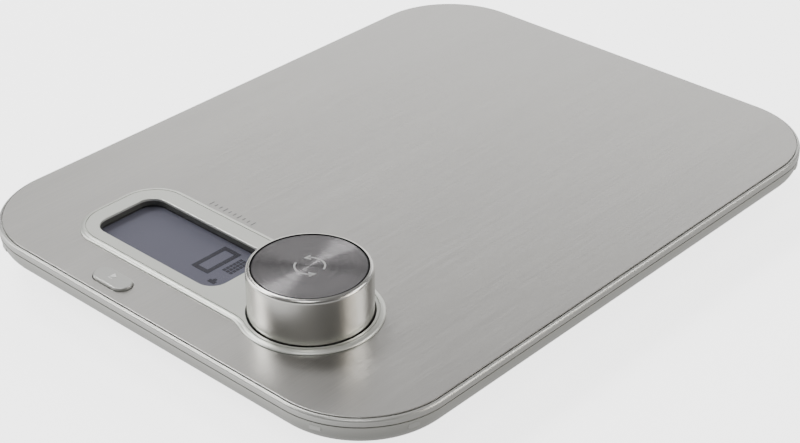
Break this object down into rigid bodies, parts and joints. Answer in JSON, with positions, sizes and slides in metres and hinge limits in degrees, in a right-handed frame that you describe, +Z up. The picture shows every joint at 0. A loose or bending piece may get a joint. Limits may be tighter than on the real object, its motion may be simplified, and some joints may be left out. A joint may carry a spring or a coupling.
{
  "type": "kitchen scale",
  "caption": "Flat one-piece kitchen scale with a steel platform, recessed display, tare button and a turn knob that drives an internal generator; it stands on load-cell feet.",
  "frame": {"origin": "middle of the footprint, on the surface the feet stand on", "axes": "+X to the user's right, +Y away from the user, +Z up"},
  "size_m": [0.1848, 0.2428, 0.0363],
  "materials": {
    "brushed_sheet": "brushed along the scale's depth",
    "adhesive_film": "clear film",
    "rim_silver": "satin silver lacquer on plastic",
    "casing_silver": "satin silver lacquer on plastic",
    "screw_steel": "zinc plated",
    "bezel_silver": "satin silver lacquer on plastic",
    "clear_lens": "clear acrylic",
    "black_foam": "closed-cell foam",
    "lcd_grey": "reflective display with dark segments",
    "white_plastic": "moulded",
    "pink_rubber": "layered contact rubber",
    "board_green": "solder mask",
    "chip_black": "epoxy",
    "can_blue": "sleeved can",
    "natural_nylon": "moulded nylon",
    "button_silver": "satin silver lacquer on plastic",
    "knob_aluminium": "satin turned",
    "spun_disc": "circular spun, dark",
    "black_plastic": "moulded",
    "shaft_steel": "ground",
    "bush_brass": "turned",
    "magnet_grey": "sintered",
    "stator_iron": "stamped",
    "coil_copper": "enamelled copper winding",
    "lead_red": "insulated lead",
    "lead_grey": "insulated lead",
    "cell_steel": "spring steel",
    "pad_rubber": "moulded"
  },
  "bodies": {
    "casing": {"platform_plate": "brushed_sheet", "plate_adhesive": "adhesive_film", "upper_casing": "rim_silver", "lower_casing": "casing_silver", "case_screws": "screw_steel", "display_bezel": "bezel_silver", "window_lens": "clear_lens", "display_gasket": "black_foam", "lcd_glass": "lcd_grey", "lcd_frame": "white_plastic", "contact_strip": "pink_rubber", "main_board": "board_green", "controller_chip": "chip_black", "storage_capacitor": "can_blue", "board_screws": "screw_steel", "tare_switch": "chip_black", "shaft_bush": "bush_brass", "gearbox_base": "white_plastic", "gearbox_cover": "white_plastic", "gearbox_screws": "screw_steel", "idler_axle": "shaft_steel", "stator_ring": "stator_iron", "stator_coil": "coil_copper", "generator_wires": "lead_red", "load_cell_wires": "lead_grey", "load_cell_holders": "black_plastic", "load_cell_front_left": "cell_steel", "load_cell_front_right": "cell_steel", "load_cell_rear_left": "cell_steel", "load_cell_rear_right": "cell_steel"},
    "knob": {"knob_shell": "knob_aluminium", "knob_disc": "spun_disc", "knob_hub": "black_plastic", "knob_shaft": "shaft_steel", "shaft_clip": "shaft_steel", "drive_gear": "natural_nylon"},
    "idler": {"idler_gear": "natural_nylon"},
    "rotor": {"rotor_shaft": "shaft_steel", "rotor_pinion": "bush_brass", "rotor_magnet": "magnet_grey"},
    "button": {"tare_button": "button_silver", "switch_plunger": "natural_nylon"},
    "foot_front_left": {"foot_cup_front_left": "black_plastic", "foot_pad_front_left": "pad_rubber"},
    "foot_front_right": {"foot_cup_front_right": "black_plastic", "foot_pad_front_right": "pad_rubber"},
    "foot_rear_left": {"foot_cup_rear_left": "black_plastic", "foot_pad_rear_left": "pad_rubber"},
    "foot_rear_right": {"foot_cup_rear_right": "black_plastic", "foot_pad_rear_right": "pad_rubber"}
  },
  "joints": [
    {"name": "knob_spin", "type": "hinge", "parent": "casing", "child": "knob", "pos_m": [0.0343, -0.084, 0.0195], "axis": [0, 0, 1], "continuous": true},
    {"name": "idler_spin", "type": "hinge", "parent": "casing", "child": "idler", "pos_m": [0.0439, -0.06737, 0.012], "axis": [0, 0, 1], "continuous": true},
    {"name": "rotor_spin", "type": "hinge", "parent": "casing", "child": "rotor", "pos_m": [0.05858, -0.06053, 0.012], "axis": [0, 0, 1], "continuous": true},
    {"name": "tare_press", "type": "slide", "parent": "casing", "child": "button", "axis": [0, 0, -1], "range_m": [0, 0.0006], "stiffness_N_per_m": 3000},
    {"name": "foot_front_left_travel", "type": "slide", "parent": "casing", "child": "foot_front_left", "axis": [0, 0, 1], "range_m": [0, 0.0003], "stiffness_N_per_m": 10000, "deforming": ["load_cell_front_left"]},
    {"name": "foot_front_right_travel", "type": "slide", "parent": "casing", "child": "foot_front_right", "axis": [0, 0, 1], "range_m": [0, 0.0003], "stiffness_N_per_m": 10000, "deforming": ["load_cell_front_right"]},
    {"name": "foot_rear_left_travel", "type": "slide", "parent": "casing", "child": "foot_rear_left", "axis": [0, 0, 1], "range_m": [0, 0.0003], "stiffness_N_per_m": 10000, "deforming": ["load_cell_rear_left"]},
    {"name": "foot_rear_right_travel", "type": "slide", "parent": "casing", "child": "foot_rear_right", "axis": [0, 0, 1], "range_m": [0, 0.0003], "stiffness_N_per_m": 10000, "deforming": ["load_cell_rear_right"]}
  ],
  "couplings": [
    {"joint": "idler_spin", "follows": "knob_spin", "ratio": -3},
    {"joint": "rotor_spin", "follows": "knob_spin", "ratio": 10.5}
  ]
}
